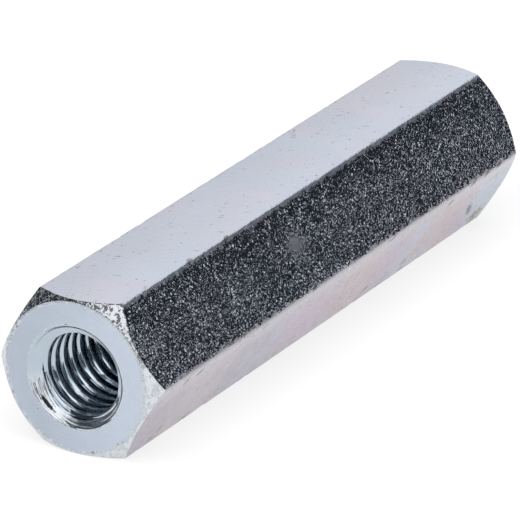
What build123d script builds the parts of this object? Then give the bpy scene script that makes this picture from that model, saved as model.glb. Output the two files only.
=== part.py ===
"""Hexagonal threaded spacer: an M8 female/female standoff, 13 mm across flats and 60 mm long.

One piece of hexagonal steel bar, lying along X on one of its six flats, with its centre at the
origin and +Z up. Each end is faced, chamfered by a cone that leaves a hyperbola on every flat,
countersunk and drilled blind. The hole is the tapping hole of a right-hand M8 x 1.25 thread,
and its wall stands for the thread's crests. All sizes are in millimetres.
"""

import os
from math import radians, sqrt, tan

from build123d import *

# Bar
LENGTH = 60.0
ACROSS_FLATS = 13.0
BAR_EDGE_RADIUS = 0.2

# Chamfer of each end, cut as a cone
FACE_DIAMETER = 12.7  # what stays flat inside the chamfer
CHAMFER_ANGLE = 45.0  # to the end face

# Tapping hole of each end, M8 x 1.25
TAP_DRILL_DIAMETER = 6.8
DRILL_DEPTH = 20.0  # straight wall, from the end face; 16 mm of it is tapped
DRILL_POINT_ANGLE = 118.0
COUNTERSINK_DIAMETER = 8.6
COUNTERSINK_ANGLE = 90.0

CLEARANCE = 1.0  # how far cutting bodies reach past the bar

ACROSS_CORNERS = ACROSS_FLATS * 2 / sqrt(3)


def cone_depth(wide_radius, narrow_radius, full_angle):
    """Length along its axis of a cone of the given full angle between two radii."""
    return (wide_radius - narrow_radius) / tan(radians(full_angle / 2))


def turned(outline):
    """Solid of revolution about X from (x, radius) points that start and end on the axis."""
    return revolve(Plane.XZ * make_face(Polyline(*outline, close=True)), Axis.X)


def hex_bar():
    """Drawn hexagonal bar with slightly rounded long edges, one flat facing straight up."""
    section = RegularPolygon(ACROSS_FLATS / 2, side_count=6, major_radius=False)
    section = fillet(section.vertices(), BAR_EDGE_RADIUS)
    return extrude(Plane.YZ * section, LENGTH / 2, both=True)


def chamfer_form():
    """Round body of the bar's length with tapered ends: the bar keeps what lies inside it."""
    half = LENGTH / 2
    reach = ACROSS_CORNERS / 2 + CLEARANCE
    run = (reach - FACE_DIAMETER / 2) * tan(radians(CHAMFER_ANGLE))
    return turned(
        [
            (-half, 0),
            (-half, FACE_DIAMETER / 2),
            (-half + run, reach),
            (half - run, reach),
            (half, FACE_DIAMETER / 2),
            (half, 0),
        ]
    )


def tapping_hole():
    """What the drill and the countersink remove, with the mouth at X = 0 and the point at +X."""
    mouth = COUNTERSINK_DIAMETER / 2
    wall = TAP_DRILL_DIAMETER / 2
    return turned(
        [
            (-CLEARANCE, 0),
            (-CLEARANCE, mouth),
            (0, mouth),
            (cone_depth(mouth, wall, COUNTERSINK_ANGLE), wall),
            (DRILL_DEPTH, wall),
            (DRILL_DEPTH + cone_depth(wall, 0, DRILL_POINT_ANGLE), 0),
        ]
    )


def hex_spacer():
    """The whole spacer: the chamfered bar with the same hole in both ends."""
    near_hole = Pos(X=-LENGTH / 2) * tapping_hole()
    far_hole = Rot(Z=180) * near_hole
    return (hex_bar() & chamfer_form()) - near_hole - far_hole


os.makedirs("parts", exist_ok=True)
export_step(hex_spacer(), "parts/hex_spacer.step")
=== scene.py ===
"""Looks of the hexagonal threaded spacer: zinc-plated drawn steel, lying on a white table.

The piece built here stands for the CAD bar. It has the same faces at the same places, and adds
the M8 thread, the softened edges, the nicks of handling and the finish of every surface.
"""

from math import cos, pi, radians, sin, tan

import bmesh
import bpy
import numpy as np
from mathutils import Matrix, Vector, noise


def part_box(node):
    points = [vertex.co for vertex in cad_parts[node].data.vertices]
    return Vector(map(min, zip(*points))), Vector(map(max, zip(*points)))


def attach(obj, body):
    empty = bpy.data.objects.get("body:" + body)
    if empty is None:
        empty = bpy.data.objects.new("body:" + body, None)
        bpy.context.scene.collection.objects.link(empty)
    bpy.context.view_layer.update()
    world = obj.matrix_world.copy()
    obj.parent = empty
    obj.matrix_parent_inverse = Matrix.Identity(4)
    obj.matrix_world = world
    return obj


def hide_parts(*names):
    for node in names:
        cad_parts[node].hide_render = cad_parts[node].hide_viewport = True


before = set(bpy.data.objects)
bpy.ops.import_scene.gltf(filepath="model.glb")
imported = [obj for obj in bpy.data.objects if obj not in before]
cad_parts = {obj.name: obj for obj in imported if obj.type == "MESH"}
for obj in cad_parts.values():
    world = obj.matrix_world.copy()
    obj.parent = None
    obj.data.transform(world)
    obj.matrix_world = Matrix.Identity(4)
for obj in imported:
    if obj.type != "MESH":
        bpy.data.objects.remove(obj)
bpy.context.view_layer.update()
LOW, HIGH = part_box("hex_spacer")

# Sizes in millimetres; MM turns them into Blender's metres
MM = 0.001
HALF_LENGTH = HIGH.x / MM
APOTHEM = HIGH.z / MM
CORNER_RADIUS = HIGH.y / MM
BAR_EDGE_RADIUS = 0.22
FACE_RADIUS = 6.35
SINK_RADIUS = 4.3
DRILL_RADIUS = 3.4
DRILL_DEPTH = 20.0
DRILL_POINT_ANGLE = 118.0
DRILL_TIP = 0.1  # share of the drill's point that is cut off flat

# Thread: one pitch from crest to crest as (distance from the crest's middle, radius)
PITCH = 1.25
THREAD_DEPTH = 16.0
CREST_DEPTH = 0.50  # depth of a crest at the angle 0, on the +Y side
HALF_THREAD = [
    (0.0, 3.4),
    (0.19, 3.404),
    (0.29, 3.437),
    (0.375, 3.53),
    (0.45, 3.668),
    (0.525, 3.796),
    (0.59, 3.878),
]
ROOT = (PITCH / 2, 3.9)
THREAD = HALF_THREAD + [ROOT] + [(PITCH - place, radius) for place, radius in HALF_THREAD[:0:-1]]

# Zones of the surface, by the number of their material
DRAWN, CHAMFER, FACED, BORE = range(4)

# Mesh fineness
ARC_STEPS = 4
FLAT_STEPS = 16
EDGE_MARGINS = (0.05, 0.14, 0.30)  # columns beside each rounded edge
SIDE_ROWS = 80
SIDE_CROWDING = 1.4  # above 1, the rows of a side stand closer towards its end
CHAMFER_ROWS = 6
FACE_ROWS = (FACE_RADIUS - 0.05, 6.15, 6.0, 5.7, 5.3, 4.9, 4.5)  # radii, down to the countersink's lip
EDGE = 0.05  # half width of the rounding along a turned edge
LIP = 0.05  # the same at the countersink's mouth
SIDE_END = 1.2  # how far before the chamfer's edge the side ends, in half widths of its rounding
ROUNDING_ROWS = [(0.12, 0.06, DRAWN), (-0.22, 0.42, CHAMFER)]  # how far before it, how far drawn in
SEAM = 59.0  # angle where the thread's columns start, out of the camera's sight
SHARP_ANGLE = 38.0  # edges that turn by more are shaded sharp
FAR_SHIFT = (70, 50)  # moves the flat coordinates of the far half, so that its marks differ

# Widths over which a surface counts as its own rim
FLAT_RIM = 0.45
CHAMFER_RIM = 0.12
FACE_RIM = 0.35
MOUTH_RIM = 0.25

# Wear of the mesh
RUB_DEPTH = 0.02
NICK_DEPTH = 0.16
NICK_FROM = 0.33  # how high the noise rises before there is a nick
RAGGED_DEPTH = 0.035  # of the line where a turned edge meets a flat
RAGGED_SHARE = 0.12  # the same, as the largest share of the chamfer's width
RAGGED_STRETCH = 0.3  # below 1, the noise of that line is longer along the bar

# Noise that wears the mesh, as waves per mm and a seed
RUB_NOISE = (0.5, 3)
NICK_NOISE = (1.7, 11)
RAGGED_NOISE = (2.6, 5)
RAGGED_DETAIL = (7.0, 8)

# Linear colours of the finish, and of the light and shade painted on it
BLUISH = (0.50, 0.56, 0.665, 1)
LAVENDER = (0.54, 0.55, 0.645, 1)
CLAY = (0.46, 0.415, 0.49, 1)
PEARL = (0.535, 0.48, 0.535, 1)
SILVER = (0.55, 0.535, 0.58, 1)
LILAC = (0.475, 0.465, 0.57, 1)
MAUVE = (0.53, 0.44, 0.56, 1)
PEACH = (0.565, 0.46, 0.485, 1)
SKY = (0.51, 0.515, 0.645, 1)
AQUA = (0.475, 0.535, 0.63, 1)
STEEL = (0.28, 0.28, 0.29, 1)
TORN = (0.67, 0.70, 0.74, 1)
TORN_PALE = (0.75, 0.79, 0.83, 1)
# painted shade and painted light of the end faces: darker at the back, lighter at the front
FACE_SHADED = (0.485, 0.545, 0.635, 1)
FACE_LIT = (0.605, 0.67, 0.775, 1)
CUT_BLUE = (0.47, 0.55, 0.64, 1)
CUT_PALE = (0.58, 0.65, 0.71, 1)
# painted shade deep in the hole
HOLE_SHADE = (0.22, 0.27, 0.33, 1)
# painted shade in the countersink's cuts
CUT_SHADE = (0.03, 0.035, 0.04, 1)
DIRT = (0.16, 0.16, 0.17, 1)
GRIME = (0.07, 0.07, 0.08, 1)
CHIPPED = (0.14, 0.145, 0.125, 1)
CHIPPED_PALE = (0.50, 0.51, 0.47, 1)
# painted shadow in the dent
DENT_SHADOW = (0.06, 0.05, 0.08, 1)

# Clouds on the lower front flat, by how far along the bar their middle lies
LOWER_CLOUDS = [
    (-29, CLAY),
    (-21, PEARL),
    (-16, CLAY),
    (-11, LILAC),
    (-6, MAUVE),
    (3, PEACH),
    (9, MAUVE),
    (14, SKY),
    (17.5, PEACH),
    (21.5, MAUVE),
    (26.5, AQUA),
]
CLOUDS_SWAY = 16.0  # how far noise moves the clouds along the bar
CLOUDS_SLANT = 0.3  # how far they lean along it per mm of height
LOWER_NORMAL = (0, cos(radians(210)), sin(radians(210)))

# Grain of the drawn flats, and the few crystals in it that catch the light
GRAIN_PER_MM = 5.8
GRAIN_DEPTH = 0.055
FACETS_PER_MM = 8.0
FACETS_KEPT = 0.04
FACET_TILT = 0.8

# Polished band: how far below the top flat it starts and is full, and the same for its upper end
BAND_START, BAND_FULL = 0.36, 0.24
BAND_END, BAND_FADE = 0.02, 0.1

# Marks with a place of their own: centre, radius and shape, where a larger shape is narrower
SCUFF = ((-5.2, -5.55, 3.39), 1.6, (0.8, 1, 1))
DENT = ((24.64, -5.19, -4.01), 1.15, (1.7, 1, 1))
DENT_SLANT = 0.75  # how far the dent leans along the bar per mm of height
CHIP = ((27.4, -4.25, -5.6), 1.35, (0.9, 1.2, 1.2))
# cuts in the near countersink, which also carry painted shade
SHADED_CUTS = [(0.3, -45, 0.11, 14), (0.95, -33, 0.10, 10), (0.62, -92, 0.08, 20)]  # depth, angle, sizes

# Scattered marks: cells per mm both ways, their turn, the share of cells with a mark, and its size
PITS = ((1.1, 1.3, 1), 0, 0.28, 0.17)
SCRATCHES_ACROSS = ((0.5, 2.0, 1), -60, 0.12, 0.22)
SCRATCHES_ALONG = ((0.5, 2.4, 1), -8, 0.13, 0.19)
EDGE_NICKS = ((0.55, 1.2, 1), 25, 0.32, 0.42)
CHAMFER_PITS = ((2.0, 3.0, 1), 20, 0.4, 0.32)
FACE_SPECKS = ((1.2, 1.2, 1), 10, 0.10, 0.10)
FACE_RIM_SPECKS = ((1.6, 1.6, 1), 30, 0.4, 0.3)

# Depths in the hole between which its finish and its painted shade change
SINK_FADE = (1.0, 0.8)  # from the thread to the countersink
TORN_FADE = (4.0, 1.5)  # from clean to torn turns
HOLE_SHADE_FADE = (5.0, 15.0)  # from unshaded turns to painted shade deep in the hole

# Depths of relief in the finish, in mm
MARK_DEPTH = 0.02
DENT_DEPTH = 0.03
CRUMB_HEIGHT = 0.06
CHAMFER_WAVES = 0.05
TEAR_DEPTH = 0.03
FACE_WAVES = 0.006
SPECK_DEPTH = 0.012
BURR_HEIGHT = 0.015
TORN_LINES = 0.22
BORE_WAVES = 0.03
CUT_DEPTH = 0.05

# Roughness of each surface, least and most, and what wear adds to it
FLAT_ROUGHNESS = (0.07, 0.12)
CHAMFER_ROUGHNESS = (0.14, 0.28)
FACE_ROUGHNESS = (0.2, 0.3)
BORE_ROUGHNESS = (0.07, 0.14)
BAND_ROUGHER = 0.25
FRAYED_ROUGHER = 0.35
SCUFF_ROUGHER = 0.21
SINK_ROUGHER = 0.12

# Table
TABLE_ROUGHNESS = 0.9
TABLE_HALF = 2.5  # metres
TABLE_WHITE = 0.24
TABLE_GLOW = 0.77  # what the camera sees on top of the table's own light
TABLE_GLOSS = 0.67  # what polished metal sees on top of it

# Panels that only polished metal sees, as name, azimuth, elevation, width, height, strength,
# distance in metres and colour; the angles are in degrees, as seen from the bar
WHITE = (1, 1, 1, 1)
NIGHT = (0.8, 0.97, 1.15, 1)
PANELS = [
    ("flag_right", -36, 15, 49, 39, 0.024, 0.8, NIGHT),
    ("flag_edge", 2, 18, 30, 16, 0.024, 0.9, NIGHT),
    ("flag_left", 115, 30, 106, 70, 0.05, 0.8, NIGHT),
    ("flag_camera", 194, 9, 56, 30, 0.04, 0.9, NIGHT),
    ("softbox_top", 200, 56, 50, 40, 1.2, 0.7, WHITE),
    ("softbox_low", 184, 27, 40, 24, 1.5, 0.7, WHITE),
]
PANEL_FADE = 0.15  # share of a panel over which its border fades

# Lamp overhead, for the floor's soft shadow
LAMP_FROM = (200, 60)
LAMP_DISTANCE = 0.8
LAMP_SIZE = (0.8, 0.6)
LAMP_POWER = 4.0

# World: its strength on rough surfaces, and to the camera and in reflections
AMBIENT = 0.75
BACKGROUND = 1.0

# Camera, as azimuth and elevation of its line of sight
VIEW_AZIMUTH = 30.366
VIEW_ELEVATION = 22.103
VIEW_ROLL = -0.646
VIEW_DISTANCE = 501.0
LENS = 426.2
SENSOR = 36
AIM_RIGHT = -0.722  # from the object's middle to the middle of the picture
AIM_UP = -0.786


# ---------------------------------------------------------------- mesh

def flat_columns(half_flat):
    """Where the columns of one flat stand, measured from its middle."""
    margins = np.array(EDGE_MARGINS)
    inner = np.linspace(margins[-1] - half_flat, half_flat - margins[-1], FLAT_STEPS + 1)
    return np.concatenate([margins[:-1] - half_flat, inner, (half_flat - margins[:-1])[::-1]])


def rounded_corner(corner, arc_centre):
    """(y, z) points of the rounding at one corner's angle."""
    for step in range(ARC_STEPS + 1):
        turn = corner + radians(60) * (step / ARC_STEPS - 0.5)
        y = arc_centre * cos(corner) + BAR_EDGE_RADIUS * cos(turn)
        z = arc_centre * sin(corner) + BAR_EDGE_RADIUS * sin(turn)
        yield y, z


def flat_side(normal, columns):
    """(y, z) points of the flat that faces one angle."""
    for place in columns:
        y = APOTHEM * cos(normal) - place * sin(normal)
        z = APOTHEM * sin(normal) + place * cos(normal)
        yield y, z


def section():
    """The bar's section from the seam on: angle, (y, z), length round it and edge wear of each point."""
    arc_centre = (APOTHEM - BAR_EDGE_RADIUS) / cos(radians(30))
    half_flat = arc_centre * sin(radians(30))
    columns = flat_columns(half_flat)
    wear_beside = np.clip(1 - (half_flat - np.abs(columns)) / FLAT_RIM, 0, 1)
    points, wear = [], []
    for side in range(6):
        corner = radians(60 * (side + 1))
        points.extend(rounded_corner(corner, arc_centre))
        wear.extend([1.0] * (ARC_STEPS + 1))
        points.extend(flat_side(corner + radians(30), columns))
        wear.extend(wear_beside)
    points, wear = np.array(points), np.array(wear)
    angles = (np.arctan2(points[:, 1], points[:, 0]) - radians(SEAM)) % (2 * pi) + radians(SEAM)
    order = np.argsort(angles)
    points = points[order]
    steps = np.linalg.norm(np.roll(points, -1, 0) - points, axis=1)
    return angles[order], points, np.concatenate([[0], np.cumsum(steps)]), wear[order]


def thread_rows(angle):
    """[depth, radius] of every thread row at one angle; the thread runs out over its last pitch."""
    rows = []
    for turn in range(-2, int(THREAD_DEPTH / PITCH) + 2):
        for place, radius in THREAD:
            depth = CREST_DEPTH + PITCH * (turn + angle / (2 * pi)) + place
            fade = min(max((THREAD_DEPTH - depth) / PITCH, 0), 1)
            rows.append([min(depth, THREAD_DEPTH + 1), DRILL_RADIUS + (radius - DRILL_RADIUS) * fade])
    return rows


def cut_by_sink(rows):
    """Moves thread rows out to the countersink's cone, and tells which of them lie on its edge."""
    above = [radius - (SINK_RADIUS - depth) for depth, radius in rows]
    on_edge = [False] * len(rows)
    for i in range(len(rows) - 1):
        if above[i] * above[i + 1] < 0 and rows[i][0] > LIP:
            share = above[i] / (above[i] - above[i + 1])
            nearest = i if share < 0.5 else i + 1
            rows[nearest] = [a + (b - a) * share for a, b in zip(rows[i], rows[i + 1])]
            above[nearest] = 0
            on_edge[nearest] = True
    for row in rows:
        row[0] = max(row[0], LIP)
        row[1] = max(row[1], SINK_RADIUS - row[0])
        if row[0] == LIP:
            row[1] = SINK_RADIUS - LIP
    return on_edge


class HalfBar:
    """Rows of points from mid length out over the -X end and down its hole, by columns."""

    def __init__(self):
        self.angles, self.outline, self.round_length, self.wear = section()
        self.unit = np.stack([np.cos(self.angles), np.sin(self.angles)], 1)
        self.reach = np.hypot(*self.outline.T)
        self.width = self.reach - FACE_RADIUS  # of the 45 degree chamfer at each column
        self.edge = np.minimum(EDGE, self.width * 0.25)
        self.rows, self.zones, self.rims = [], [], []
        self.add_side()
        self.add_chamfer()
        self.face_start = len(self.rows)
        self.add_face()
        self.add_hole()
        self.points = np.array(self.rows)

    def add(self, depth, across, zone, rim=1.0):
        """A row at the given depth below the end face; across holds its (y, z) points.

        The rim is 1 on the edges of the surface and fades away from them.
        """
        x = np.broadcast_to(np.asarray(depth, float) - HALF_LENGTH, self.angles.shape)
        self.rows.append(np.column_stack([x, across]))
        self.zones.append(zone)
        self.rims.append(np.broadcast_to(np.clip(rim, 0, 1), self.angles.shape))

    def add_side(self):
        side_end = HALF_LENGTH - self.width - self.edge * SIDE_END
        for i in range(SIDE_ROWS + 1):
            share = 1 - (1 - i / SIDE_ROWS) ** SIDE_CROWDING
            beside_end = 1 - side_end * (1 - share) / FLAT_RIM
            self.add(HALF_LENGTH - side_end * share, self.outline, DRAWN, np.maximum(beside_end, self.wear))
        for before, drawn_in, zone in ROUNDING_ROWS:
            across = self.outline * (1 - drawn_in * self.edge / self.reach)[:, None]
            self.add(self.width + self.edge * before, across, zone)

    def add_chamfer(self):
        for share in np.linspace(0, 1, CHAMFER_ROWS):
            radius = self.reach - self.edge - (self.width - 2 * self.edge) * share
            rim = 1 - np.minimum(share, 1 - share) * self.width / CHAMFER_RIM
            self.add(radius - FACE_RADIUS, self.unit * radius[:, None], CHAMFER, rim)
        self.add(self.edge * 0.3, self.unit * (FACE_RADIUS + self.edge * 0.25)[:, None], CHAMFER)

    def add_face(self):
        for radius in FACE_ROWS + (SINK_RADIUS + LIP,):
            outer_rim = 1 - (FACE_RADIUS - radius) / FACE_RIM
            mouth_rim = 0.8 - (radius - SINK_RADIUS) / MOUTH_RIM
            self.add(0, self.unit * radius, FACED, max(outer_rim, mouth_rim))

    def add_hole(self):
        self.first = len(self.rows)
        columns = [thread_rows(angle) for angle in self.angles]
        edges = [cut_by_sink(column) for column in columns]
        self.on_edge = {}
        for i in range(len(columns[0])):
            place = np.array([column[i] for column in columns])
            self.on_edge[len(self.rows)] = [edge[i] for edge in edges]
            self.add(place[:, 0], self.unit * place[:, 1:2], BORE, 0.0)
        self.last = len(self.rows) - 1
        point = DRILL_RADIUS / tan(radians(DRILL_POINT_ANGLE / 2))
        self.add(DRILL_DEPTH, self.unit * DRILL_RADIUS, BORE)
        self.add(DRILL_DEPTH + point * (1 - DRILL_TIP), self.unit * DRILL_RADIUS * DRILL_TIP, BORE)

    def uv(self, i, j, zone):
        """Flat coordinates in mm of row i, column j, as the finish of that zone uses them."""
        x, y, z = self.points[i, j % len(self.angles)]
        turned = self.angles[j % len(self.angles)] + 2 * pi * (j // len(self.angles))
        if zone == DRAWN:
            return x, self.round_length[j]
        if zone == CHAMFER:
            return turned * FACE_RADIUS, (y * y + z * z) ** 0.5
        if zone == FACED:
            return y, z
        return x + HALF_LENGTH - PITCH * turned / (2 * pi), turned * DRILL_RADIUS

    def faces(self):
        """(corners, zone) of every face. The thread's last column meets its first a turn on."""
        columns = len(self.angles)
        for i in range(len(self.rows) - 1):
            zone = self.zones[i + 1]
            for j in range(columns):
                right = (0, 0)
                if j + 1 == columns and self.first <= i < self.last:
                    right = tuple(min(k + len(THREAD), self.last) - k for k in (i, i + 1))
                a, b, c, d = (i, j), (i + 1, j), (i + 1 + right[-1], j + 1), (i + right[0], j + 1)
                if self.is_on_edge(a) and self.is_on_edge(c):
                    yield (a, b, c), zone
                    yield (a, c, d), zone
                else:
                    yield (a, b, c, d), zone
        end = len(self.rows) - 1
        yield tuple((end, j) for j in range(columns)), BORE

    def is_on_edge(self, corner):
        row, column = corner
        return row in self.on_edge and self.on_edge[row][column % len(self.angles)]


def smooth_noise(x, y, z, per_mm, seed):
    return noise.noise(Vector((x, y, z)) * per_mm + Vector((seed, 0, 0)))


def raggedness(x, y, z):
    """How far the turned edge strays at one point, in shares of its depth."""
    x *= RAGGED_STRETCH
    return max(smooth_noise(x, y, z, *RAGGED_NOISE) + 0.6 * smooth_noise(x, y, z, *RAGGED_DETAIL), 0)


def wear_edges(half, points):
    """Nicks and rubs along the six edges, and an uneven line where the turned edges meet them."""
    for i in range(half.face_start):
        for j, share in enumerate(half.wear):
            x, y, z = points[i, j]
            rub = RUB_DEPTH * share * max(smooth_noise(x, y, z, *RUB_NOISE), 0)
            nick = NICK_DEPTH * share * max(smooth_noise(x, y, z, *NICK_NOISE) - NICK_FROM, 0)
            points[i, j, 1:] *= 1 - (rub + nick) / CORNER_RADIUS
            if i >= SIDE_ROWS:
                limit = min(RAGGED_DEPTH, half.width[j] * RAGGED_SHARE)
                inward = -1 if x > 0 else 1
                points[i, j, 0] += inward * limit * raggedness(x, y, z)


def worn_points(half, turned):
    """The half's points where it lies, with worn edges; its middle row stays, to join the other half."""
    points = half.points * turned
    middle = points[0].copy()
    wear_edges(half, points)
    points[0] = middle
    return points


def build_spacer():
    """The visual bar as one closed mesh: one half, and the same half turned end for end."""
    half = HalfBar()
    columns = len(half.angles)
    near = worn_points(half, (1, 1, 1))
    far = worn_points(half, (-1, -1, 1))
    points = np.vstack([near.reshape(-1, 3), far.reshape(-1, 3)])
    faces, zones, flat = [], [], []
    for corners, zone in half.faces():
        faces.append([i * columns + j % columns for i, j in corners])
        zones.append(zone)
        flat.extend(half.uv(i, j, zone) for i, j in corners)
    offset = len(near) * columns
    far_faces = [[corner + offset for corner in face] for face in faces]
    mesh = bpy.data.meshes.new("hex_spacer_plated")
    mesh.from_pydata((points * MM).tolist(), [], faces + far_faces)
    mesh.polygons.foreach_set("material_index", zones * 2)
    flat = np.array(flat)
    flat = np.vstack([flat, flat + FAR_SHIFT])
    mesh.uv_layers.new(name="flat").data.foreach_set("uv", flat.ravel())
    rims = mesh.attributes.new("rim", "FLOAT", "POINT")
    rims.data.foreach_set("value", np.tile(np.concatenate(half.rims), 2))
    join_and_smooth(mesh)
    piece = bpy.data.objects.new("hex_spacer_plated", mesh)
    bpy.context.scene.collection.objects.link(piece)
    return piece


def join_and_smooth(mesh):
    """Joins the halves and the seam, and leaves only the cut edges sharp."""
    body = bmesh.new()
    body.from_mesh(mesh)
    bmesh.ops.remove_doubles(body, verts=body.verts, dist=1e-7)
    bmesh.ops.dissolve_degenerate(body, edges=body.edges, dist=1e-8)
    bmesh.ops.recalc_face_normals(body, faces=body.faces)
    for face in body.faces:
        face.smooth = True
    for line in body.edges:
        line.smooth = line.is_manifold and line.calc_face_angle(0) < radians(SHARP_ANGLE)
    body.to_mesh(mesh)
    body.free()


# ---------------------------------------------------------------- shader nodes

class Shader:
    """One material and short names for the nodes that it is made of. Lengths are in mm."""

    def __init__(self, name):
        self.material = bpy.data.materials.new(name)
        self.material.use_nodes = True
        self.tree = self.material.node_tree
        self.surface = self.tree.nodes["Principled BSDF"]

    def add(self, kind, inputs=(), output=0, **settings):
        """A node with its settings; inputs maps a socket's name or number to a value or link."""
        node = self.tree.nodes.new("ShaderNode" + kind)
        for name, value in settings.items():
            setattr(node, name, value)
        for socket, value in dict(inputs).items():
            if isinstance(value, bpy.types.NodeSocket):
                self.tree.links.new(value, node.inputs[socket])
            else:
                node.inputs[socket].default_value = value
        return node.outputs[output]

    def link(self, socket, value):
        self.tree.links.new(value, self.surface.inputs[socket])

    def math(self, operation, a, b=0.0):
        return self.add("Math", {0: a, 1: b}, operation=operation)

    def plus(self, a, b):
        return self.math("ADD", a, b)

    def minus(self, a, b):
        return self.math("SUBTRACT", a, b)

    def times(self, a, b):
        return self.math("MULTIPLY", a, b)

    def larger(self, a, b):
        return self.math("MAXIMUM", a, b)

    def vector_math(self, operation, a, b):
        return self.add("VectorMath", {0: a, 1: b}, operation=operation)

    def scaled(self, vector, factor):
        return self.add("VectorMath", {0: vector, "Scale": factor}, operation="SCALE")

    def length(self, vector):
        return self.add("VectorMath", {0: vector}, "Value", operation="LENGTH")

    def split(self, vector):
        """The x, y and z of a vector."""
        return self.add("SeparateXYZ", {0: vector}).node.outputs

    def place(self):
        """Object coordinates in millimetres."""
        return self.scaled(self.add("TexCoord", output="Object"), 1 / MM)

    def flat(self):
        """The flat coordinates of the mesh in millimetres."""
        return self.add("UVMap", uv_map="flat")

    def rim(self):
        """1 on the edges of a surface, fading to 0 away from them."""
        return self.add("Attribute", attribute_name="rim", output="Fac")

    def noise(self, place, per_mm, detail=2.0, roughness=0.5):
        inputs = {"Vector": place, "Scale": per_mm, "Detail": detail, "Roughness": roughness}
        return self.add("TexNoise", inputs)

    def ramp(self, value, low, high, start=0.0, stop=1.0):
        """A soft step: start where the value is at low, stop where it is at high."""
        inputs = {0: value, 1: low, 2: high, 3: start, 4: stop}
        return self.add("MapRange", inputs, interpolation_type="SMOOTHSTEP")

    def clouds(self, place, per_mm, detail, start=0.0, stop=1.0, roughness=0.5):
        """Noise that is spread over the whole range from start to stop."""
        return self.ramp(self.noise(place, per_mm, detail, roughness), 0.3, 0.7, start, stop)

    def mix(self, share, a, b):
        return self.add("Mix", {0: share, 6: a, 7: b}, output=2, data_type="RGBA")

    def blend(self, value, stops):
        """Colours blended along a value, from (value, colour) stops in rising order."""
        node = self.tree.nodes.new("ShaderNodeValToRGB")
        node.color_ramp.interpolation = "EASE"
        first, last = stops[0][0], stops[-1][0]
        for _ in stops[2:]:
            node.color_ramp.elements.new(0.5)
        for element, (place, colour) in zip(node.color_ramp.elements, stops):
            element.position = (place - first) / (last - first)
            element.color = colour
        share = self.math("DIVIDE", self.minus(value, first), last - first)
        self.tree.links.new(share, node.inputs[0])
        return node.outputs[0]

    def bump(self, height, depth, under=None):
        """Relief of the given depth in mm, laid over another relief."""
        inputs = {"Height": height, "Strength": 1.0, "Distance": depth * MM}
        if under is not None:
            inputs["Normal"] = under
        return self.add("Bump", inputs)

    def tipped(self, vector):
        """The surface's direction, tipped by a vector."""
        normal = self.add("NewGeometry", output="Normal")
        return self.add("VectorMath", {0: self.vector_math("ADD", normal, vector)}, operation="NORMALIZE")

    def facets(self, place, per_mm, kept, tilt):
        """The surface's direction, tipped over small crystals that cover the kept share of it."""
        colour = self.add("TexVoronoi", {"Vector": place, "Scale": per_mm}, output="Color")
        lean = self.vector_math("SUBTRACT", colour, (0.5, 0.5, 0.5))
        chance = self.add("TexWhiteNoise", {"Vector": colour}, "Value")
        strength = self.times(self.math("LESS_THAN", chance, kept), tilt)
        return self.tipped(self.scaled(lean, strength))

    def marks(self, scale, turn, kept, size):
        """Scattered uneven marks, up to 1 at their middle, in the kept share of the cells of a grid."""
        flat = self.flat()
        shift = self.add("TexNoise", {"Vector": flat, "Scale": 3.0, "Detail": 2.0}, "Color")
        moved = self.vector_math("ADD", flat, self.scaled(shift, 0.3))
        turned = self.add("Mapping", {"Vector": moved, "Rotation": (0, 0, radians(turn))})
        cells = {"Vector": self.vector_math("MULTIPLY", turned, scale), "Scale": 1.0}
        cell = self.add("TexVoronoi", cells, voronoi_dimensions="2D").node.outputs
        luck, other, _ = self.split(cell["Color"])
        strong = self.ramp(other, 0.1, 1.0, 0.25, 1.0)
        near = self.ramp(self.math("DIVIDE", cell["Distance"], strong), size, size * 0.3)
        shown = self.times(near, self.math("GREATER_THAN", luck, 1 - kept))
        return self.times(shown, strong)

    def spot(self, place, centre, radius, shape=(1, 1, 1)):
        """1 within a ragged patch round one point of the surface; a larger shape makes it narrower."""
        apart = self.vector_math("SUBTRACT", place, centre)
        distance = self.length(self.vector_math("MULTIPLY", apart, shape))
        ragged = self.times(self.noise(place, 2.0, 3.0), radius)
        return self.ramp(self.plus(distance, ragged), radius * 1.6, radius * 0.7)


# ---------------------------------------------------------------- drawn flats

def lower_clouds(shader, place):
    """Colours of the lower front flat, in clouds that lie aslant, with silver along its upper edge."""
    x, _, z = shader.split(place)
    sway = shader.times(shader.minus(shader.noise(place, 0.16, 2.0), 0.5), CLOUDS_SWAY)
    along = shader.plus(shader.plus(x, sway), shader.times(z, CLOUDS_SLANT))
    warm = shader.blend(along, LOWER_CLOUDS)
    return shader.mix(shader.ramp(z, -0.2, -2.4), SILVER, warm)


def zinc_tint(shader, place):
    """Bluish clouds of the passivated zinc, with lilac, pinkish and straw ones on the lower front, scaled
    by painted light and shade: lighter towards the front, darker towards the back and the bottom.
    """
    _, y, z = shader.split(place)
    cool = shader.mix(shader.clouds(place, 0.2, 1.0), BLUISH, LAVENDER)
    facing = shader.add("VectorMath", {0: place, 1: LOWER_NORMAL}, "Value", operation="DOT_PRODUCT")
    lower = shader.ramp(facing, APOTHEM - 0.4, APOTHEM - 0.1)
    tint = shader.mix(shader.ramp(lower, 0.0, 1.0, 0.15, 1.0), cool, lower_clouds(shader, place))
    # painted light and shade: brighter towards the front (-Y), darker towards the back (+Y) and towards the
    # bottom
    across = shader.plus(y, shader.times(shader.noise(place, 0.15, 2.0), 6.0))
    upper = shader.ramp(across, 7.5, -1.5, 0.90, 1.07)
    under = shader.ramp(z, 0.0, -APOTHEM, 1.005, 0.89)
    return shader.scaled(tint, shader.times(upper, under))


def scuffs(shader, place):
    """The scuff on the upper front flat, and faint rubs all over."""
    rubs = shader.times(shader.ramp(shader.noise(place, 0.45, 2.0), 0.58, 0.75), 0.18)
    return shader.larger(shader.spot(place, *SCUFF), rubs)


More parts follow.
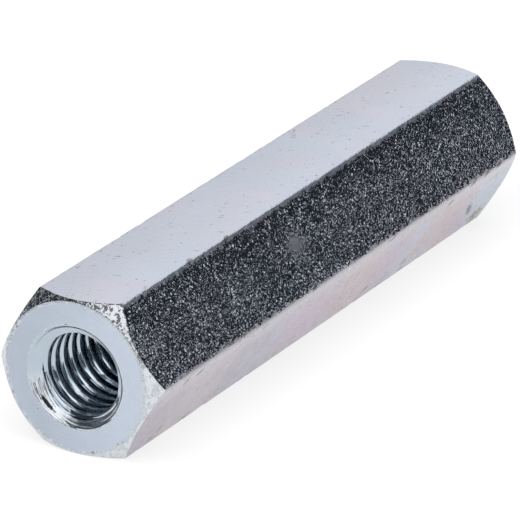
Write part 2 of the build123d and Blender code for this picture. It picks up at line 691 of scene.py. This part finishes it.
def dent_with_shadow(shader, place):
    """The dent at the far end of the lower front flat, which leans along the bar; the same patch also
    carries a painted shadow in the dent.
    """
    centre = DENT[0]
    leaning = shader.times(shader.minus(shader.split(place)[2], centre[2]), DENT_SLANT)
    upright = shader.vector_math("ADD", place, shader.add("CombineXYZ", {0: leaning}))
    return shader.spot(upright, *DENT)


def polished_band(shader, place):
    """The smoother band on the side flats just below the top flat, with an uneven border."""
    z = shader.split(place)[2]
    uneven = shader.plus(z, shader.clouds(place, 1.3, 4.0, -0.15, 0.2, 0.6))
    band = shader.ramp(uneven, APOTHEM - BAND_START, APOTHEM - BAND_FULL)
    return shader.times(band, shader.ramp(z, APOTHEM - BAND_END, APOTHEM - BAND_FADE))


def thin_plating(shader, place):
    """Ragged steel along the edges of the lower front flat and of the flat opposite it."""
    _, y, z = shader.split(place)
    ragged = shader.times(shader.noise(place, 1.8, 4.0, 0.6), 0.8)
    bare = shader.ramp(shader.plus(shader.rim(), ragged), 1.25, 1.4)
    return shader.times(bare, shader.ramp(shader.times(y, z), 5, 15, 0.0, 0.45))


def flat_marks(shader, place):
    """Pits and scratches on all flats, and nicks along the edges and at the sides of the lower ones."""
    z = shader.split(place)[2]
    scratches = shader.larger(shader.marks(*SCRATCHES_ALONG), shader.marks(*SCRATCHES_ACROSS))
    small = shader.times(shader.larger(shader.marks(*PITS), scratches), 0.85)
    off_middle = shader.math("ABSOLUTE", shader.plus(z, APOTHEM / 2))
    beside = shader.times(shader.ramp(off_middle, 1.1, 2.4), shader.ramp(z, 0.4, 0.0))
    allowed = shader.larger(beside, shader.ramp(shader.rim(), 0.0, 0.4))
    return shader.larger(small, shader.times(shader.marks(*EDGE_NICKS), allowed))


def grainy_skin(shader, place, smooth):
    """Relief of the plating: fine grain, and crystals that glint where the side flats aren't smooth."""
    z = shader.split(place)[2]
    patches = shader.clouds(place, 0.3, 2.0, 0.93, 1.02)
    patches = shader.times(patches, shader.ramp(z, 6.2, 3.5, 0.84, 0.96))
    level = shader.times(patches, shader.ramp(smooth, 0.0, 1.0, 1.0, 0.6))
    grain = shader.minus(shader.noise(place, GRAIN_PER_MM, 1.0, 0.6), 0.5)
    beside = shader.ramp(shader.math("ABSOLUTE", z), APOTHEM - 0.4, APOTHEM - 0.7)
    tilt = shader.times(beside, shader.ramp(smooth, 0.3, 0.1, 0.0, FACET_TILT))
    relief = shader.facets(place, FACETS_PER_MM, FACETS_KEPT, tilt)
    return shader.bump(shader.times(grain, level), GRAIN_DEPTH, relief)


def flat_roughness(shader, place, polished, scuffed):
    """Glossy skin, rougher in the polished band, in the scuffs and in a frayed line at mid height."""
    rough = shader.clouds(place, 1.1, 3.0, *FLAT_ROUGHNESS)
    rough = shader.plus(rough, shader.times(polished, BAND_ROUGHER))
    frayed = shader.times(shader.minus(shader.noise(place, 1.8, 4.0, 0.7), 0.5), 1.2)
    off_edge = shader.plus(shader.math("ABSOLUTE", shader.split(place)[2]), frayed)
    rough = shader.plus(rough, shader.ramp(off_edge, 0.32, 0.12, 0.0, FRAYED_ROUGHER))
    return shader.plus(rough, shader.times(scuffed, SCUFF_ROUGHER))


def drawn_zinc(shader, place):
    """Cold drawn flats: a grainy plated skin with pits, scratches and a few larger marks, a painted shadow
    in the dent, and painted shade that darkens them towards the back and the bottom.
    """
    scuffed = scuffs(shader, place)
    dent_and_shadow = dent_with_shadow(shader, place)
    chipped = shader.ramp(shader.spot(place, *CHIP), 0.0, 0.7)
    crumbs = shader.ramp(shader.noise(place, 3.5, 3.0, 0.6), 0.4, 0.6)
    polished = polished_band(shader, place)
    dirt = flat_marks(shader, place)
    smooth = shader.larger(polished, shader.times(scuffed, 0.5))
    relief = shader.bump(dirt, -MARK_DEPTH, grainy_skin(shader, place, smooth))
    relief = shader.bump(shader.times(chipped, crumbs), CRUMB_HEIGHT, relief)
    shader.link("Normal", shader.bump(dent_and_shadow, -DENT_DEPTH, relief))
    tint = shader.mix(thin_plating(shader, place), zinc_tint(shader, place), STEEL)
    # painted shadow: the dent's patch is darkened to a near-black lavender
    tint = shader.mix(dent_and_shadow, tint, DENT_SHADOW)
    tint = shader.mix(chipped, tint, shader.mix(crumbs, CHIPPED, CHIPPED_PALE))
    shader.link("Base Color", shader.mix(shader.times(dirt, 0.8), tint, DIRT))
    shader.link("Roughness", flat_roughness(shader, place, polished, scuffed))


# ---------------------------------------------------------------- turned ends

def chamfer_zinc(shader, place):
    """Turned chamfers: uneven, torn and bright, with pits and dark lumps above the middle."""
    relief = shader.bump(shader.noise(place, 1.6, 3.0, 0.6), CHAMFER_WAVES)
    relief = shader.bump(shader.noise(place, 5.0, 1.0), CHAMFER_WAVES, relief)
    pits = shader.marks(*CHAMFER_PITS)
    torn = shader.ramp(shader.noise(place, 2.0, 4.0, 0.65), 0.53, 0.60)
    shader.link("Normal", shader.bump(shader.larger(pits, torn), -TEAR_DEPTH, relief))
    line = shader.ramp(shader.times(shader.rim(), shader.noise(place, 3.0, 3.0)), 0.4, 0.6)
    dirt = shader.larger(shader.times(torn, 0.9), shader.larger(pits, line))
    upper = shader.ramp(shader.split(place)[2], 1.0, 4.0, 0.12, 1.0)
    metal = shader.mix(upper, TORN_PALE, TORN)
    shader.link("Base Color", shader.mix(shader.times(dirt, upper), metal, GRIME))
    shader.link("Roughness", shader.clouds(place, 2.0, 3.0, *CHAMFER_ROUGHNESS))


def faced_zinc(shader, place):
    """Turned end faces: smooth, with specks and a ragged pale rim, and painted light and shade that make
    them lighter towards the front and darker towards the back.
    """
    near_rim = shader.ramp(shader.rim(), 0.0, 0.6)
    rim_specks = shader.times(shader.marks(*FACE_RIM_SPECKS), near_rim)
    dirt = shader.larger(shader.marks(*FACE_SPECKS), rim_specks)
    pale = shader.times(near_rim, shader.ramp(shader.noise(place, 2.5, 4.0, 0.7), 0.42, 0.55))
    relief = shader.bump(shader.noise(place, 1.2, 3.0), FACE_WAVES)
    relief = shader.bump(dirt, -SPECK_DEPTH, relief)
    shader.link("Normal", shader.bump(pale, BURR_HEIGHT, relief))
    # painted light and shade: the base colour is lighter towards the front (-Y) and darker towards the back
    # (+Y)
    side = shader.ramp(shader.split(place)[1], 4.0, -6.0)
    painted_lighting = shader.plus(side, shader.clouds(place, 0.25, 2.0, 0.0, 0.25))
    tint = shader.mix(pale, shader.mix(painted_lighting, FACE_SHADED, FACE_LIT), TORN)
    shader.link("Base Color", shader.mix(shader.times(dirt, 0.85), tint, DIRT))
    shader.link("Roughness", shader.clouds(place, 1.1, 3.0, *FACE_ROUGHNESS))


def by_depth(shader, place, depths, start=0.0, stop=1.0):
    """A soft step from start to stop between two depths below the nearer end face."""
    along = shader.math("ABSOLUTE", shader.split(place)[0])
    return shader.ramp(along, HALF_LENGTH - depths[0], HALF_LENGTH - depths[1], start, stop)


def upper_sink(shader, place, sink):
    """The upper part of the countersink's cone, inside its lip."""
    _, y, z = shader.split(place)
    aside = shader.times(shader.math("MINIMUM", y, 0.0), -0.6)
    above = shader.ramp(shader.plus(z, aside), 0.5, 2.0)
    radius = shader.length(shader.add("CombineXYZ", {1: y, 2: z}))
    inside = shader.ramp(radius, SINK_RADIUS - 0.18, SINK_RADIUS - 0.24)
    return shader.times(shader.times(above, inside), sink)


def torn_share(shader, place, above):
    """How torn the cut metal is: most in the lower half and near the mouth, least in the upper cone."""
    z = shader.split(place)[2]
    torn = shader.times(shader.ramp(z, 1.0, -2.5, 0.2, 1.0), by_depth(shader, place, TORN_FADE, 0.3))
    torn = shader.larger(torn, shader.ramp(z, -2.5, -3.3, 0.0, 0.6))
    return shader.times(torn, shader.ramp(above, 0.0, 1.0, 1.0, 0.3))


def shaded_sink_cuts(shader, place):
    """The cuts in the near countersink, shallow recesses with painted shade in them."""
    x, y, z = shader.split(place)
    angle = shader.math("ARCTAN2", z, y)
    shaded_cuts = 0.0
    for depth, middle, deep, wide in SHADED_CUTS:
        off_depth = shader.math("DIVIDE", shader.minus(x, depth - HALF_LENGTH), deep)
        off_angle = shader.math("DIVIDE", shader.minus(angle, radians(middle)), radians(wide))
        off = shader.length(shader.add("CombineXYZ", {0: off_depth, 1: off_angle}))
        off = shader.plus(off, shader.noise(place, 4.0, 2.0))
        shaded_cuts = shader.larger(shaded_cuts, shader.ramp(off, 1.5, 1.2))
    return shaded_cuts


def bore_zinc(shader, place):
    """Countersink and thread: cut metal, torn in its lower half, with painted shade in its cuts and painted
    shade that darkens it further in.
    """
    x, _, z = shader.split(place)
    sink = by_depth(shader, place, SINK_FADE)
    above = upper_sink(shader, place, sink)
    torn = torn_share(shader, place, above)
    shaded_cuts = shaded_sink_cuts(shader, place)
    outward = shader.add("CombineXYZ", {0: shader.times(shader.math("SIGN", x), 0.8)})
    lines = shader.noise(shader.vector_math("MULTIPLY", shader.flat(), (3.4, 0.2, 1)), 1.0, 2.0, 0.7)
    relief = shader.tipped(shader.scaled(outward, above))
    relief = shader.bump(shader.times(lines, torn), TORN_LINES, relief)
    relief = shader.bump(shader.times(shader.noise(place, 2.0, 3.0), torn), BORE_WAVES, relief)
    shader.link("Normal", shader.bump(shaded_cuts, -CUT_DEPTH, relief))
    tint = shader.mix(shader.noise(place, 0.4, 2.0), CUT_BLUE, CUT_PALE)
    tint = shader.mix(shader.times(sink, shader.ramp(z, 0.0, -2.0, 0.0, 0.8)), tint, TORN_PALE)
    # painted shade: the cuts are painted near black
    tint = shader.mix(shaded_cuts, tint, CUT_SHADE)
    # painted shade: the colour darkens with depth in the hole
    shader.link("Base Color", shader.mix(by_depth(shader, place, HOLE_SHADE_FADE), tint, HOLE_SHADE))
    worn = shader.times(sink, shader.ramp(z, -0.5, -2.0, 0.0, SINK_ROUGHER))
    shader.link("Roughness", shader.plus(shader.clouds(place, 1.5, 3.0, *BORE_ROUGHNESS), worn))


def finish_material(paint):
    shader = Shader(paint.__name__)
    shader.surface.inputs["Metallic"].default_value = 1
    paint(shader, shader.place())
    return shader.material


# ---------------------------------------------------------------- studio

def direction(azimuth, elevation):
    a, e = radians(azimuth), radians(elevation)
    return Vector((cos(a) * cos(e), sin(a) * cos(e), sin(e)))


def rectangle(name, half_width, half_height, z=0.0):
    """A flat rectangle about the Z axis, as an object of its own."""
    mesh = bpy.data.meshes.new(name)
    corners = [(-1, -1), (1, -1), (1, 1), (-1, 1)]
    mesh.from_pydata([(x * half_width, y * half_height, z) for x, y in corners], [], [(0, 1, 2, 3)])
    item = bpy.data.objects.new(name, mesh)
    bpy.context.scene.collection.objects.link(item)
    return item


def point_at_bar(item, towards, distance):
    """Puts an object at a distance from the bar, turned so that it faces the bar."""
    item.location = towards * distance
    item.rotation_euler = towards.to_track_quat("Z", "Y").to_euler()


def add_panel(name, azimuth, elevation, wide, high, strength, distance, colour):
    """A panel that only polished metal sees, wide by high degrees: a soft box or a dark flag."""
    half_width, half_height = (distance * tan(radians(size / 2)) for size in (wide, high))
    panel = rectangle(name, half_width, half_height)
    point_at_bar(panel, direction(azimuth, elevation), distance)
    panel.data.materials.append(glowing_material(name, strength, colour))
    panel.visible_camera = False
    panel.visible_diffuse = False
    panel.visible_transmission = False
    panel.visible_volume_scatter = False
    panel.visible_shadow = False


def glowing_material(name, strength, colour):
    """An even glow that fades out at the border of its panel."""
    shader = Shader(name)
    spot = shader.add("TexCoord", output="Generated")
    mask = 1.0
    for along in shader.split(spot)[:2]:
        from_middle = shader.math("ABSOLUTE", shader.minus(along, 0.5))
        mask = shader.times(mask, shader.ramp(from_middle, 0.5, 0.5 - PANEL_FADE))
    glow = shader.add("Emission", {"Color": colour, "Strength": strength})
    both = shader.add("MixShader", {0: mask, 1: shader.add("BsdfTransparent"), 2: glow})
    shader.tree.links.new(both, shader.tree.nodes["Material Output"].inputs[0])
    return shader.material


def add_world():
    """White to the camera and in reflections; a soft even light on everything else."""
    world = bpy.data.worlds.new("studio")
    bpy.context.scene.world = world
    world.use_nodes = True
    tree = world.node_tree
    tree.nodes.clear()
    rays = tree.nodes.new("ShaderNodeLightPath")
    seen = rays.outputs["Is Camera Ray"]
    for name in ("Is Glossy Ray", "Is Transmission Ray"):
        either = tree.nodes.new("ShaderNodeMath")
        either.operation = "MAXIMUM"
        tree.links.new(seen, either.inputs[0])
        tree.links.new(rays.outputs[name], either.inputs[1])
        seen = either.outputs[0]
    mix = tree.nodes.new("ShaderNodeMixShader")
    tree.links.new(seen, mix.inputs[0])
    for socket, strength in ((1, AMBIENT), (2, BACKGROUND)):
        light = tree.nodes.new("ShaderNodeBackground")
        light.inputs["Color"].default_value = WHITE
        light.inputs["Strength"].default_value = strength
        tree.links.new(light.outputs[0], mix.inputs[socket])
    out = tree.nodes.new("ShaderNodeOutputWorld")
    tree.links.new(mix.outputs[0], out.inputs[0])


def add_floor():
    """A white table: white to the camera wherever no shadow falls on it."""
    floor = rectangle("table_top", TABLE_HALF, TABLE_HALF, LOW.z)
    table = Shader("white_table")
    table.surface.inputs["Base Color"].default_value = (TABLE_WHITE, TABLE_WHITE, TABLE_WHITE, 1)
    table.surface.inputs["Roughness"].default_value = TABLE_ROUGHNESS
    table.surface.inputs["Specular IOR Level"].default_value = 0.0
    table.surface.inputs["Emission Color"].default_value = WHITE
    to_camera = table.times(table.add("LightPath", output="Is Camera Ray"), TABLE_GLOW)
    to_metal = table.times(table.add("LightPath", output="Is Glossy Ray"), TABLE_GLOSS)
    table.link("Emission Strength", table.plus(to_camera, to_metal))
    floor.data.materials.append(table.material)


def add_lamp():
    """The soft lamp overhead, which polished metal doesn't reflect."""
    lamp = bpy.data.lights.new("overhead", "AREA")
    lamp.shape = "RECTANGLE"
    lamp.size, lamp.size_y = LAMP_SIZE
    lamp.energy = LAMP_POWER
    item = bpy.data.objects.new("overhead", lamp)
    point_at_bar(item, direction(*LAMP_FROM), LAMP_DISTANCE)
    item.visible_glossy = False
    bpy.context.scene.collection.objects.link(item)


def add_camera():
    """The camera stands where the spacer shows its near end at the left and its top flat."""
    forward = direction(VIEW_AZIMUTH, -VIEW_ELEVATION)
    level = forward.cross(Vector((0, 0, 1))).normalized()
    above = level.cross(forward)
    roll = radians(VIEW_ROLL)
    right = level * cos(roll) + above * sin(roll)
    up = above * cos(roll) - level * sin(roll)
    camera = bpy.data.objects.new("camera", bpy.data.cameras.new("camera"))
    camera.data.lens = LENS
    camera.data.sensor_width = SENSOR
    camera.data.clip_start = 0.01
    camera.data.clip_end = 10
    place = (right * AIM_RIGHT + up * AIM_UP - forward * VIEW_DISTANCE) * MM
    axes = Matrix((right, up, -forward)).transposed().to_4x4()
    camera.matrix_world = Matrix.Translation(place) @ axes
    bpy.context.scene.collection.objects.link(camera)
    bpy.context.scene.camera = camera


add_camera()
add_world()
add_floor()
add_lamp()
for row in PANELS:
    add_panel(*row)

spacer = build_spacer()
for paint in (drawn_zinc, chamfer_zinc, faced_zinc, bore_zinc):
    spacer.data.materials.append(finish_material(paint))
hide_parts("hex_spacer")
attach(spacer, "root")

bpy.context.scene.view_settings.view_transform = "Standard"
